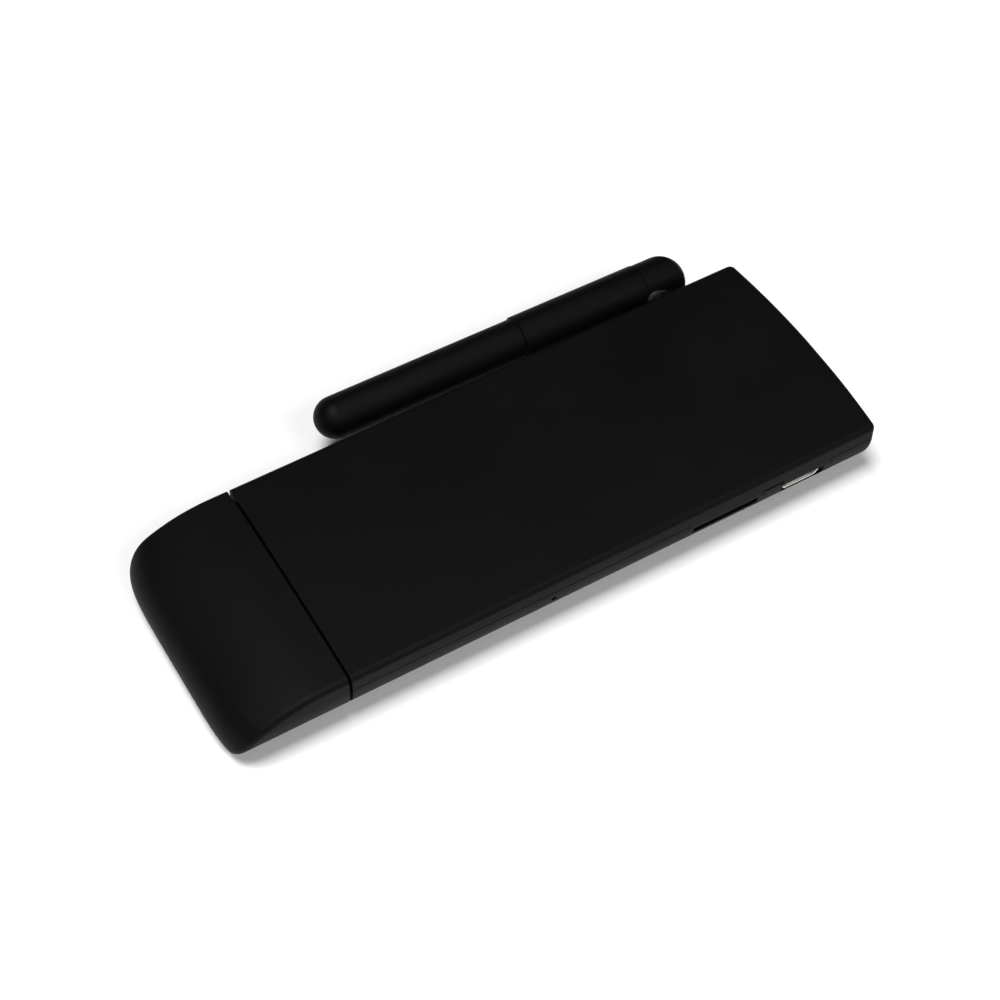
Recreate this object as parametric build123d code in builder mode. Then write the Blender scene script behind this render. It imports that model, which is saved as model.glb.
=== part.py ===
from build123d import *
import os
from math import cos, radians, sin, sqrt, tan

# A plug-in streaming stick: a flat two-shell housing, a pull-off cap over its plug, and a rod
# antenna that swivels beside its far edge. Millimetres. +X runs away from the cap, +Y towards the
# antenna, +Z up, and the origin is the middle of the housing's base.

# Length at which the distances along the housing are given
layout_length = 92.55


def along(distance):
    """A distance from the plug end, which keeps its share of the housing's length."""
    return distance * housing_length / layout_length


# Housing
housing_length = 92.55
housing_width = 39.7
edge_height = 11.3
crown = 0.6
end_bow = 1.15
end_bow_near = 0.5
wall = 1.4
parting_height = 8.3
parting_gap = 0.15
flank_radius = 8.5
flank_turn = 50.0
near_corner_radius = 1.1
far_corner_radius = 1.2
top_edge_radius = 1.0
base_edge_radius = 0.8
tongue_inset = 0.8
tongue_rise = 0.9
shell_fit = 0.1
vent_length = 9.0
vent_width = 1.2
vent_pitch = 3.4
vent_count = 7
vent_offset = 6.0
vent_station = along(40.0)

# Plug cap and the spigot that it grips
cap_length = 19.0
cap_wall = 1.6
cap_fit = 0.1
seam_gap = 0.5
brow_start = 3.0
nose_height = 3.0
nose_radius = 6.5
chin_radius = 3.0
nose_bow = 1.9
nose_bow_power = 6
cap_shares = (0.0, 0.4, 0.63, 0.78, 0.91, 1.0)
spigot_reach = 1.6
spigot_wall = 1.0
cap_sleeve_wall = 1.2
cap_sleeve_gap = 0.3
cap_rib = 1.0
cap_rib_offset = 4.0
sleeve_setback = 2.0

# Main board and its screws
board_thickness = 1.0
boss_height = 3.5
boss_diameter = 4.4
board_side_gap = 0.35
board_plug_end_gap = 0.2
board_far_end_gap = 0.6
notch_gap = 0.25
board_corner_radius = 1.0
screw_diameter = 1.6
screw_length = 3.4
screw_tip_gap = 0.4
screw_hole_gap = 0.2
screw_head_diameter = 3.4
screw_head_height = 1.1
screw_head_round = 0.4
screw_drive_length = 1.8
screw_drive_width = 0.4
screw_drive_depth = 0.6
screw_places = [
    (along(11.0), 11.2),
    (along(11.0), -11.2),
    (along(54.2), -11.2),
    (along(87.0), 11.2),
]

# Plug
plug_width = 13.9
plug_height = 4.45
plug_sheet = 0.35
plug_reach = 12.0
plug_depth = 6.0
plug_middle = 5.6
plug_lower_width = 10.4
plug_side_height = 2.6
plug_fit = 0.15
plug_liner = 0.8
plug_block_reach = 3.0
plug_contact_setback = 0.8
plug_contact_pitch = 1.0
plug_contact_width = 0.45
plug_contact_thickness = 0.2
plug_upper_contacts = 10
plug_lower_contacts = 9
solder_foot = 1.5

# Chips and small parts on the board: length along X, width along Y, height
processor_size = (14.0, 14.0, 1.2)
processor_place = (along(43.0), 2.0)
heat_pad_thickness = 0.5
heat_spreader_size = (29.0, 24.0, 0.8)
heat_spreader_place = (along(38.0), 2.0)
memory_size = (8.0, 13.5, 1.1)
memory_places = [(along(26.0), 7.5), (along(26.0), -7.5)]
flash_size = (11.5, 13.0, 1.0)
flash_place = (along(60.0), 3.0)
power_chip_size = (5.0, 5.0, 0.9)
power_chip_place = (along(48.5), -9.5)
inductor_size = (3.0, 3.0, 1.5)
inductor_place = (along(39.5), -11.5)
inductor_pitch = 3.8
inductor_corner = 0.4
radio_size = (12.0, 12.0, 0.8)
radio_place = (along(59.0), 8.5)
radio_shield_size = (11.0, 11.0, 1.5)
radio_shield_sheet = 0.2
crystal_size = (3.2, 2.5, 0.8)
crystal_places = [(along(33.0), 12.4), (along(68.5), 3.5)]
capacitor_size = (0.8, 1.6, 0.8)
resistor_size = (1.0, 0.5, 0.35)
small_part_pitch = 2.2
capacitor_groups = [(along(33.2), 2.5, 1, 5), (along(14.5), 0.0, 2, 4), (along(73.7), -8.5, 1, 4)]
resistor_groups = [(along(19.2), 0.0, 1, 9), (along(54.6), -2.5, 1, 3), (along(73.0), 5.0, 1, 2)]

# Card slot and socket in the near side
card_slot_width = 11.7
card_slot_station = along(64.45)
card_socket_height = 1.45
card_tab_overlap = 0.9
card_socket_width = 14.0
card_socket_depth = 15.0
card_socket_inset = 2.2
card_sheet = 0.2
card_base = 0.3
card_rail = 1.1
card_contact_count = 8
card_contact_pitch = 1.1
card_contact_size = (0.5, 6.0, 0.15)

# Post between the two tabs of the top shell
post_gap = 0.35

# Power socket in the near side
power_station = along(78.85)
power_notch_width = 7.7
power_notch_drop = 3.7
power_tab_reach = 1.1
power_tab_wall = 0.8
power_width = 7.4
power_height = 2.4
power_lower_width = 5.3
power_side_height = 1.3
power_depth = 5.3
power_sheet = 0.25
power_inset = 0.95
power_base = 5.0
power_flare = 0.15
power_flare_length = 0.6
power_tongue_size = (3.5, 0.6, 3.4)
power_tongue_drop = 0.5
power_contact_setback = 0.3
power_block_depth = 1.2
power_contact_count = 5
power_contact_pitch = 0.65
power_contact_size = (0.35, 0.12)

# Host socket in the far end
host_width = 13.1
host_height = 5.8
host_depth = 14.0
host_base = 3.0
host_sheet = 0.3
host_fit = 0.2
host_recess = 0.3
host_tongue_size = (11.1, 1.8, 8.8)
host_tongue_drop = 0.5
host_corner = 0.6
host_block_depth = 4.0
host_contact_count = 4
host_contact_pitch = 2.5
host_contact_size = (1.0, 0.15, 8.0)

# Reset switch behind the pinhole
pinhole_diameter = 1.0
pinhole_station = along(33.9)
switch_size = (3.4, 3.4, 1.4)
plunger_size = (1.6, 0.9)
plunger_reach = 0.7
plunger_travel = 0.25
plunger_root = 0.8
plunger_fit = 0.05

# Antenna hinge
pivot_station = along(78.4)
pivot_height = 7.5
hinge_boss_radius = 2.6
hinge_boss_rise = 1.2
hinge_pad_inset = 2.75
bush_radius = 1.9
bush_collar_radius = 1.6
bush_collar_length = 0.95
bush_flange_radius = 2.5
bush_flange_thickness = 0.4
bush_inner_inset = 3.95
shaft_radius = 1.0
shaft_bore_radius = 0.65
shaft_fit = 0.05
shaft_inner_inset = 4.85
shaft_grip = 1.5
nut_across_flats = 4.6
nut_thickness = 1.0
clip_radius = 1.8
clip_thickness = 0.4
clip_groove_depth = 0.15
clip_mouth = 1.2
washer_thickness = 0.4
washer_radius = 1.6
running_gap = 0.05
hinge_notch_gap = 0.5

# Antenna
antenna_stand_off = 5.97
antenna_lift = 1.15
antenna_thin_radius = 3.45
antenna_thick_radius = 3.7
antenna_tip_reach = 60.65
antenna_step_reach = 24.1
antenna_step_length = 0.2
antenna_edge_round = 0.1
knuckle_radius = 3.6
knuckle_reach = 1.1
knuckle_dome_radius = 4.31
knuckle_dome_back = 2.42
knuckle_dome_shift = 0.89
knuckle_groove = 0.12
knuckle_groove_depth = 0.12
knuckle_spigot_radius = 1.75
knuckle_spigot_length = 4.0
spotface_radius = 2.0
rod_fit = 0.05
radiator_radius = 1.8
radiator_bore_radius = 1.5
radiator_length = 22.5
radiator_wire_radius = 0.5
radiator_wire_length = 28.0
feed_radius = 0.25
feed_bend = 1.6
feed_bore_radius = 0.5

# Antenna lead
lead_radius = 0.565
lead_connector_place = (along(68.8), 10.6)
board_connector_size = (2.6, 2.6, 0.6)
lead_connector_radius = 1.2
lead_connector_height = 0.6
lead_tail = 0.9

# How far a cut runs past what it cuts
overcut = 1.0

# Places worked out from the sizes above
half_width = housing_width / 2
card_socket_front = half_width - card_socket_inset
power_front = half_width - power_inset
hinge_pad_depth = half_width - hinge_pad_inset
bush_inner_end = half_width - bush_inner_inset
shaft_inner_end = half_width - shaft_inner_inset
antenna_offset = half_width + antenna_stand_off
seam_x = -housing_length / 2
far_end = seam_x + housing_length
flank_centre = half_width - flank_radius
board_underside = wall + boss_height
board_top = board_underside + board_thickness
cap_face = seam_x - seam_gap
nose_tip = cap_face - cap_length
pivot_x = seam_x + pivot_station
boss_face = half_width + hinge_boss_rise
collar_end = boss_face + bush_collar_length
lead_end = collar_end
spotface_y = collar_end + washer_thickness + 2 * running_gap
shaft_outer_end = spotface_y + shaft_grip
seat_height = parting_height + tongue_rise
card_socket_top = board_top + card_socket_height
tab_height = card_socket_top
power_tab_height = card_socket_top - running_gap
board_half_width = (
    flank_centre
    + sqrt((flank_radius - wall) ** 2 - (parting_height - board_underside) ** 2)
    - board_side_gap
)
board_start = seam_x + wall + board_plug_end_gap
pinhole_height = board_top + switch_size[2] / 2
board_end = far_end - end_bow - wall - board_far_end_gap


def station(distance):
    """X at a distance from the housing's plug end."""
    return seam_x + distance


def cross_plane(x, z=0.0):
    """A plane across the housing that looks along +X, with Y to the right and Z up."""
    return Plane((x, 0, z), x_dir=(0, 1, 0), z_dir=(1, 0, 0))


def far_plane(x, y, z):
    """A plane parallel to the far side that looks along +Y, with -X to the right and Z up."""
    return Plane((x, y, z), x_dir=(-1, 0, 0), z_dir=(0, 1, 0))


def near_plane(x, y, z):
    """A plane parallel to the near side that looks along -Y, with X to the right and Z up."""
    return Plane((x, y, z), x_dir=(1, 0, 0), z_dir=(0, -1, 0))


def chip(size, places, base):
    """Flat boxes of one size, each standing on a height at its place."""
    length, width, height = size
    with BuildPart() as chips:
        with BuildSketch(Plane.XY.offset(base)):
            with Locations([(station(s), y) for s, y in places]):
                Rectangle(length, width)
        extrude(amount=height)
    return chips.part


def section_blank(inset, start, end, crest):
    """The cross-section, drawn in by inset, carried along X. Its top rises by crest in the middle."""
    reach = flank_radius - inset
    turn = radians(flank_turn)
    knee = (flank_centre + reach * cos(turn), parting_height - reach * sin(turn))
    toe_y = knee[0] - (knee[1] - inset) * tan(turn)
    side = half_width - inset
    shoulder = edge_height - inset
    with BuildPart() as blank:
        with BuildSketch(cross_plane(start)):
            with BuildLine():
                Line((toe_y, inset), knee)
                CenterArc((flank_centre, parting_height), reach, -flank_turn, flank_turn)
                Line((side, parting_height), (side, shoulder))
                mirror(about=Plane.YZ)
                Line((-toe_y, inset), (toe_y, inset))
                ThreePointArc((side, shoulder), (0, shoulder + crest), (-side, shoulder))
            make_face()
        extrude(amount=end - start)
    return blank.part


def housing_blank(inset):
    """The housing's solid form, drawn in by inset on every side, with sharp edges."""
    side = half_width - inset
    start = seam_x + inset
    crest_x = far_end - inset
    with BuildPart() as blank:
        add(section_blank(inset, start, far_end, crown))
        with BuildSketch():
            with BuildLine():
                Line((start, side), (start, -side))
                Line((start, -side), (crest_x - end_bow_near, -side))
                ThreePointArc((crest_x - end_bow_near, -side), (crest_x, 0), (crest_x - end_bow, side))
                Line((crest_x - end_bow, side), (start, side))
            make_face()
        extrude(amount=2 * edge_height, mode=Mode.INTERSECT)
    return blank.part


def housing_form():
    """The housing's outer form with its rounded corners and edges."""
    inboard = seam_x + wall
    with BuildPart() as form:
        add(housing_blank(0.0))
        at_end = form.edges().filter_by(
            lambda edge: edge.center().X > far_end - 2 * end_bow and edge.length < edge_height
        )
        corners = at_end.filter_by(
            lambda edge: abs(edge.center().Y) > flank_centre / 2
            and edge.bounding_box().size.Z > base_edge_radius
        )
        fillet(corners.filter_by(lambda edge: edge.center().Y < 0), near_corner_radius)
        fillet(corners.filter_by(lambda edge: edge.center().Y > 0), far_corner_radius)
        top = form.faces().sort_by(Axis.Z)[-1].edges()
        fillet(top.filter_by(lambda edge: edge.center().X > inboard), top_edge_radius)
        base = form.faces().sort_by(Axis.Z)[0].edges()
        fillet(base.filter_by(lambda edge: edge.center().X > inboard), base_edge_radius)
    return form.part


def cap_profile(share, inset, overrun):
    """The cap's outline seen from the side, at a share of half the width out from the middle.

    It has a flat top, a round brow, a nose and a chin. The top is crowned across the width, and the nose
    stands back by a steep power of the share, so that it is straight in the middle and bowed at the sides.
    """
    side = share * half_width
    height = edge_height + crown * (1 - share**2)
    face_x = cap_face + overrun
    tip_x = nose_tip + inset + nose_bow * abs(share) ** nose_bow_power
    brow_x = cap_face - brow_start
    nose = nose_radius - inset
    chin = chin_radius - inset
    rise = height - inset - nose_height
    reach = brow_x - tip_x
    brow = (reach**2 - 2 * reach * nose + rise**2) / (2 * (rise - nose))
    brow_centre = Vector(brow_x, nose_height + rise - brow)
    nose_centre = Vector(tip_x + nose, nose_height)
    joint = brow_centre + (nose_centre - brow_centre) * (brow / (brow - nose))
    with BuildSketch(near_plane(0, side, 0)) as profile:
        with BuildLine():
            Line((face_x, inset), (face_x, height - inset))
            Line((face_x, height - inset), (brow_x, height - inset))
            RadiusArc((brow_x, height - inset), (joint.X, joint.Y), -brow)
            RadiusArc((joint.X, joint.Y), (tip_x, nose_height), -nose)
            RadiusArc((tip_x, nose_height), (tip_x + chin, inset), -chin)
            Line((tip_x + chin, inset), (face_x, inset))
        make_face()
    return profile.sketch


def cap_blank(inset, overrun):
    """The cap's solid form, drawn in by inset, and carried past its mouth by overrun."""
    shares = [-share for share in reversed(cap_shares[1:])] + list(cap_shares)
    with BuildPart() as blank:
        loft([cap_profile(share, inset, overrun) for share in shares])
        add(section_blank(inset, nose_tip - overcut, cap_face + overrun, 2 * crown), mode=Mode.INTERSECT)
    return blank.part


def keyed_outline(width, lower_width, top, bottom, side_height, grow):
    """Corners of an outline with straight sides and its two lower corners cut off, grown all round."""
    side = width / 2 + grow
    lower = lower_width / 2 + grow
    knee = top - side_height
    return [
        (-side, top + grow),
        (side, top + grow),
        (side, knee),
        (lower, bottom - grow),
        (-lower, bottom - grow),
        (-side, knee),
    ]


def plug_outline(grow):
    """The plug's outline about its own middle."""
    half = plug_height / 2
    return keyed_outline(plug_width, plug_lower_width, half, -half, plug_side_height, grow)


def power_outline(grow):
    """The power socket's outline above its own base line."""
    return keyed_outline(power_width, power_lower_width, power_height, 0.0, power_side_height, grow)


def block(x_range, y_range, z_range):
    """A plain box between two values on each axis, used to cut or to trim."""
    spans = [x_range, y_range, z_range]
    middle = [(low + high) / 2 for low, high in spans]
    size = [high - low for low, high in spans]
    with BuildPart() as box:
        with Locations(tuple(middle)):
            Box(*size)
    return box.part


def spread(count, pitch):
    """Offsets of a row of things about its own middle."""
    return [(index - (count - 1) / 2) * pitch for index in range(count)]


def rows(count, pitch, width):
    """Planes that look along -Y, one at the far face of each strip in a row across the housing."""
    return [near_plane(0, y + width / 2, 0) for y in spread(count, pitch)]


def contact_outline(front, rear, level, seat, thickness, foot):
    """A bent contact strip: level from front to rear, then a riser to its seat, and a foot there."""
    outward = 1 if rear > front else -1
    fold = thickness if level > seat else -thickness
    heel = rear + outward * thickness
    toe = rear + outward * foot
    return [
        (front, level),
        (heel, level),
        (heel, seat + fold),
        (toe, seat + fold),
        (toe, seat),
        (rear, seat),
        (rear, level - fold),
        (front, level - fold),
    ]


def pivot_disc(start, end, radius):
    """A cylinder on the hinge's axis between two depths."""
    with BuildPart() as disc:
        with BuildSketch(far_plane(pivot_x, start, pivot_height)):
            Circle(radius)
        extrude(amount=end - start)
    return disc.part


def cord(points, radii, radius):
    """A round cord along straight runs joined by arcs."""
    with BuildPart() as body:
        with BuildLine() as path:
            FilletPolyline(*points, radius=radii)
        with BuildSketch(Plane(path.line @ 0, z_dir=path.line % 0)):
            Circle(radius)
        sweep()
    return body.part


def bend_radius(points):
    """The largest arc that the two runs of a three-point route allow."""
    turn = (points[1] - points[0]).get_angle(points[2] - points[1])
    shorter = min((points[1] - points[0]).length, (points[2] - points[1]).length)
    return 0.45 * shorter / tan(radians(turn / 2))


def near_wall(s_range, z_range, thickness):
    """A patch of the near side wall between two stations and two heights."""
    with BuildPart() as patch:
        add(outer_form)
        add(housing_blank(thickness), mode=Mode.SUBTRACT)
        add(
            block(
                (station(s_range[0]), station(s_range[1])),
                (-half_width - overcut, -flank_centre),
                z_range,
            ),
            mode=Mode.INTERSECT,
        )
    return patch.part


# Forms that both shells share
outer_form = housing_form()
inner_form = housing_blank(wall)
card_tab = (
    card_slot_station - card_slot_width / 2 - card_tab_overlap,
    card_slot_station + card_slot_width / 2 + card_tab_overlap,
)
power_notch = (power_station - power_notch_width / 2, power_station + power_notch_width / 2)
power_tab = (power_notch[0], power_notch[1] + power_tab_reach)
plug_tab_half = plug_width / 2 + plug_fit
plug_tab_base = plug_middle + plug_height / 2 + plug_fit
spigot_inset = cap_wall + cap_fit
card_x = station(card_slot_station)
power_middle_x = station(power_station)
host_front = far_end - host_recess
host_rear = host_front - host_depth
tab_root = seat_height + shell_fit

# Plain form of the two shells together, with the hinge boss and the spigot
with BuildPart() as housing_skin:
    add(outer_form)
    add(inner_form, mode=Mode.SUBTRACT)
    with BuildSketch(far_plane(pivot_x, hinge_pad_depth, pivot_height)):
        Circle(hinge_boss_radius)
    extrude(amount=boss_face - hinge_pad_depth)
    add(section_blank(spigot_inset, seam_x - spigot_reach, seam_x + wall / 2, crown))
    add(
        section_blank(spigot_inset + spigot_wall, seam_x - spigot_reach, seam_x, crown),
        mode=Mode.SUBTRACT,
    )
    with BuildSketch(far_plane(pivot_x, hinge_pad_depth - overcut, pivot_height)):
        Circle(bush_radius)
    extrude(amount=boss_face - hinge_pad_depth + 2 * overcut, mode=Mode.SUBTRACT)
    with BuildSketch(cross_plane(seam_x - overcut, plug_middle)):
        Polygon(*plug_outline(plug_fit), align=None)
    extrude(amount=wall + 2 * overcut, mode=Mode.SUBTRACT)
    with BuildSketch(cross_plane(far_end - end_bow - wall - overcut, host_base + host_height / 2)):
        Rectangle(host_width + 2 * host_fit, host_height + 2 * host_fit)
    extrude(amount=end_bow + wall + 2 * overcut, mode=Mode.SUBTRACT)

# Space in the top shell's wall that the lower shell's tongue fills
with BuildPart() as rabbet:
    add(housing_blank(tongue_inset - shell_fit))
    add(
        block((seam_x, far_end), (-half_width, half_width), (parting_height, seat_height)),
        mode=Mode.INTERSECT,
    )

# Tongue that stands on the lower shell's edge
with BuildPart() as tongue:
    add(housing_blank(tongue_inset))
    add(inner_form, mode=Mode.SUBTRACT)
    add(
        block((seam_x, far_end), (-half_width, half_width), (parting_height - wall / 2, seat_height)),
        mode=Mode.INTERSECT,
    )

# Top shell: seated on the tongue, with tabs that close the ports above the parting line
with BuildPart() as top_shell:
    add(housing_skin.part)
    split(bisect_by=Plane.XY.offset(parting_height + parting_gap), keep=Keep.TOP)
    add(rabbet.part, mode=Mode.SUBTRACT)
    add(near_wall(card_tab, (tab_height, tab_root), wall))
    add(near_wall(power_tab, (power_tab_height, tab_root), power_tab_wall))
    add(
        block(
            (seam_x, seam_x + wall),
            (-plug_tab_half, plug_tab_half),
            (plug_tab_base, tab_root),
        )
    )
    with BuildSketch(far_plane(pivot_x, hinge_pad_depth - overcut, pivot_height)):
        Circle(bush_radius)
    extrude(amount=boss_face - hinge_pad_depth + 2 * overcut, mode=Mode.SUBTRACT)

# Bottom shell: tongue, board bosses, ports, pinhole and vents
with BuildPart() as bottom_shell:
    add(housing_skin.part)
    split(bisect_by=Plane.XY.offset(parting_height), keep=Keep.BOTTOM)
    add(tongue.part)
    with BuildSketch(Plane.XY.offset(wall / 2)):
        with Locations([(station(s), y) for s, y in screw_places]):
            Circle(boss_diameter / 2)
    extrude(amount=board_underside - wall / 2)
    with BuildSketch(Plane.XY.offset(board_underside)):
        with Locations([(station(s), y) for s, y in screw_places]):
            Circle(screw_diameter / 2)
    extrude(amount=board_thickness - screw_length - screw_tip_gap, mode=Mode.SUBTRACT)
    add(
        block(
            (station(card_tab[0]) - shell_fit, station(card_tab[1]) + shell_fit),
            (-half_width - overcut, wall - half_width + shell_fit),
            (tab_height, tab_root + overcut),
        ),
        mode=Mode.SUBTRACT,
    )
    add(
        block(
            (card_x - card_slot_width / 2, card_x + card_slot_width / 2),
            (-half_width - overcut, -flank_centre),
            (board_top, tab_height + overcut),
        ),
        mode=Mode.SUBTRACT,
    )
    add(
        block(
            (station(power_tab[0]) - shell_fit, station(power_tab[1]) + shell_fit),
            (-half_width - overcut, wall - half_width + shell_fit),
            (power_tab_height, tab_root + overcut),
        ),
        mode=Mode.SUBTRACT,
    )
    add(
        block(
            (station(power_notch[0]), station(power_notch[1])),
            (-half_width - overcut, -flank_centre),
            (parting_height - power_notch_drop, tab_root),
        ),
        mode=Mode.SUBTRACT,
    )
    add(
        block(
            (station(card_tab[1]), station(power_tab[0])),
            (-half_width - overcut, tongue_inset - half_width),
            (parting_height + parting_gap - post_gap, parting_height + overcut),
        ),
        mode=Mode.SUBTRACT,
    )
    add(
        block(
            (seam_x - overcut, seam_x + wall + shell_fit),
            (-plug_tab_half - shell_fit, plug_tab_half + shell_fit),
            (plug_middle, tab_root + overcut),
        ),
        mode=Mode.SUBTRACT,
    )
    with BuildSketch(cross_plane(far_end - end_bow - wall - overcut, host_base + host_height / 2)):
        Rectangle(host_width + 2 * host_fit, host_height + 2 * host_fit)
    extrude(amount=end_bow + wall + 2 * overcut, mode=Mode.SUBTRACT)
    with BuildSketch(far_plane(pivot_x, hinge_pad_depth - overcut, pivot_height)):
        Circle(bush_radius)
    extrude(amount=boss_face - hinge_pad_depth + 2 * overcut, mode=Mode.SUBTRACT)
    with BuildSketch(near_plane(station(pinhole_station), -flank_centre, pinhole_height)):
        Circle(pinhole_diameter / 2)
    extrude(amount=flank_radius + overcut, mode=Mode.SUBTRACT)
    with BuildSketch(Plane.XY):
        with Locations((station(vent_station), 0)):
            with GridLocations(vent_pitch, 2 * vent_offset, vent_count, 2):
                SlotOverall(vent_length, vent_width, rotation=90)
    extrude(amount=wall + shell_fit, mode=Mode.SUBTRACT)

# Plug cap: hollow, with a sleeve inside that fits round the plug and ribs that hold the sleeve
sleeve_start = cap_face - sleeve_setback
sleeve_end = seam_x - plug_reach - cap_sleeve_gap
sleeve_length = sleeve_start - sleeve_end + cap_sleeve_wall
sleeve_grow = 2 * (plug_fit + cap_sleeve_wall)
with BuildPart() as cap_ribs:
    with BuildSketch(cross_plane(sleeve_end - cap_sleeve_wall, plug_middle)):
        with GridLocations(2 * cap_rib_offset, 0, 2, 1):
            Rectangle(cap_rib, 2 * edge_height)
        Rectangle(2 * housing_width, cap_rib)
        Rectangle(plug_width + sleeve_grow, plug_height + sleeve_grow)
    extrude(amount=sleeve_length)
    with BuildSketch(cross_plane(sleeve_end, plug_middle)):
        Polygon(*plug_outline(plug_fit), align=None)
    extrude(amount=sleeve_length, mode=Mode.SUBTRACT)
    add(cap_blank(cap_wall / 2, 0.0), mode=Mode.INTERSECT)

with BuildPart() as plug_cap:
    add(cap_blank(0.0, 0.0))
    top_edges = plug_cap.edges().filter_by(
        lambda edge: edge.center().Z > parting_height
        and edge.center().X < cap_face - seam_gap
        and abs(edge.center().Y) > flank_centre
    )
    fillet(top_edges, top_edge_radius)
    add(cap_blank(cap_wall, spigot_reach), mode=Mode.SUBTRACT)
    add(cap_ribs.part)

# Plug: a rolled metal shell round a moulded block with two liners that carry the contacts
plug_tip = seam_x - plug_reach
plug_rear = seam_x + plug_depth
inside_top = plug_middle + plug_height / 2 - plug_sheet
inside_bottom = plug_middle - plug_height / 2 + plug_sheet
with BuildPart() as av_plug_shell:
    with BuildSketch(cross_plane(plug_tip, plug_middle)):
        Polygon(*plug_outline(0.0), align=None)
        Polygon(*plug_outline(-plug_sheet), align=None, mode=Mode.SUBTRACT)
    extrude(amount=plug_reach + plug_depth)

upper_level = inside_top - plug_liner
lower_level = inside_bottom + plug_liner
with BuildPart() as av_plug_contacts:
    for count, level, seat in [
        (plug_upper_contacts, upper_level, board_top),
        (plug_lower_contacts, lower_level, board_underside),
    ]:
        outline = contact_outline(
            plug_tip + plug_contact_setback, plug_rear, level, seat, plug_contact_thickness, solder_foot
        )
        with BuildSketch(*rows(count, plug_contact_pitch, plug_contact_width)):
            Polygon(*outline, align=None)
        extrude(amount=plug_contact_width)

with BuildPart() as av_plug_insulator:
    with BuildSketch(cross_plane(plug_tip + plug_sheet, plug_middle)):
        Polygon(*plug_outline(-plug_sheet), align=None)
        Rectangle(plug_width, upper_level - lower_level, mode=Mode.SUBTRACT)
    extrude(amount=plug_reach + plug_depth - plug_sheet)
    with BuildSketch(cross_plane(seam_x - plug_block_reach, plug_middle)):
        Polygon(*plug_outline(-plug_sheet), align=None)
    extrude(amount=plug_block_reach + plug_depth)
    add(av_plug_contacts.part, mode=Mode.SUBTRACT)

# Main board, with notches for the plug, the two sockets and the hinge
board_middle = (board_start + board_end) / 2
power_rear = power_depth - power_front
with BuildPart() as main_board:
    with BuildSketch(Plane.XY.offset(board_underside)):
        with Locations((board_middle, 0)):
            Rectangle(board_end - board_start, 2 * board_half_width)
        fillet(vertices(), board_corner_radius)
        with Locations((board_start, 0)):
            Rectangle(
                2 * (plug_rear + notch_gap - board_start), plug_width + 2 * notch_gap, mode=Mode.SUBTRACT
            )
        with Locations((board_end, 0)):
            Rectangle(2 * (board_end - host_rear + notch_gap), host_width + 2 * notch_gap, mode=Mode.SUBTRACT)
        with Locations((power_middle_x, -board_half_width)):
            Rectangle(
                power_width + 2 * notch_gap,
                2 * (board_half_width + power_rear + notch_gap),
                mode=Mode.SUBTRACT,
            )
        with Locations((pivot_x, board_half_width)):
            Rectangle(
                2 * (bush_flange_radius + hinge_notch_gap),
                2 * (board_half_width - shaft_inner_end),
                mode=Mode.SUBTRACT,
            )
        with Locations([(station(s), y) for s, y in screw_places]):
            Circle(screw_diameter / 2 + screw_hole_gap, mode=Mode.SUBTRACT)
    extrude(amount=board_thickness)

with BuildPart() as board_screws:
    with BuildSketch(Plane.XY.offset(board_top - screw_length)):
        with Locations([(station(s), y) for s, y in screw_places]):
            Circle(screw_diameter / 2)
    extrude(amount=screw_length)
    with BuildSketch(Plane.XY.offset(board_top)):
        with Locations([(station(s), y) for s, y in screw_places]):
            Circle(screw_head_diameter / 2)
    extrude(amount=screw_head_height)
    fillet(board_screws.faces().sort_by(Axis.Z)[-4:].edges(), screw_head_round)
    with BuildSketch(Plane.XY.offset(board_top + screw_head_height)):
        with Locations([(station(s), y) for s, y in screw_places]):
            Rectangle(screw_drive_length, screw_drive_width)
            Rectangle(screw_drive_width, screw_drive_length)
    extrude(amount=-screw_drive_depth, mode=Mode.SUBTRACT)

# Chips, the radio and the small parts
processor_top = board_top + processor_size[2]
radio_base = board_top + radio_size[2]
flash_base = board_underside - flash_size[2]
processor_chip = chip(processor_size, [processor_place], board_top)
heat_pad = chip((*processor_size[:2], heat_pad_thickness), [processor_place], processor_top)
heat_spreader = chip(heat_spreader_size, [heat_spreader_place], processor_top + heat_pad_thickness)
memory_chips = chip(memory_size, memory_places, board_top)
flash_chip = chip(flash_size, [flash_place], flash_base)
power_chip = chip(power_chip_size, [power_chip_place], board_top)
radio_module = chip(radio_size, [radio_place], board_top)
crystals = chip(crystal_size, crystal_places, board_top)

with BuildPart() as radio_shield:
    add(chip(radio_shield_size, [radio_place], radio_base))
    offset(openings=radio_shield.faces().sort_by(Axis.Z)[0], amount=-radio_shield_sheet)

with BuildPart() as inductors:
    with BuildSketch(Plane.XY.offset(board_top)):
        with Locations((station(inductor_place[0]), inductor_place[1])):
            with GridLocations(inductor_pitch, inductor_pitch, 2, 2):
                RectangleRounded(inductor_size[0], inductor_size[1], inductor_corner)
    extrude(amount=inductor_size[2])

with BuildPart() as capacitors:
    with BuildSketch(Plane.XY.offset(board_top)):
        for s, y, columns, lines in capacitor_groups:
            with Locations((station(s), y)):
                with GridLocations(small_part_pitch, small_part_pitch, columns, lines):
                    Rectangle(capacitor_size[0], capacitor_size[1])
    extrude(amount=capacitor_size[2])

with BuildPart() as resistors:
    with BuildSketch(Plane.XY.offset(board_top)):
        for s, y, columns, lines in resistor_groups:
            with Locations((station(s), y)):
                with GridLocations(small_part_pitch, small_part_pitch, columns, lines):
                    Rectangle(resistor_size[0], resistor_size[1])
    extrude(amount=resistor_size[2])

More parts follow.
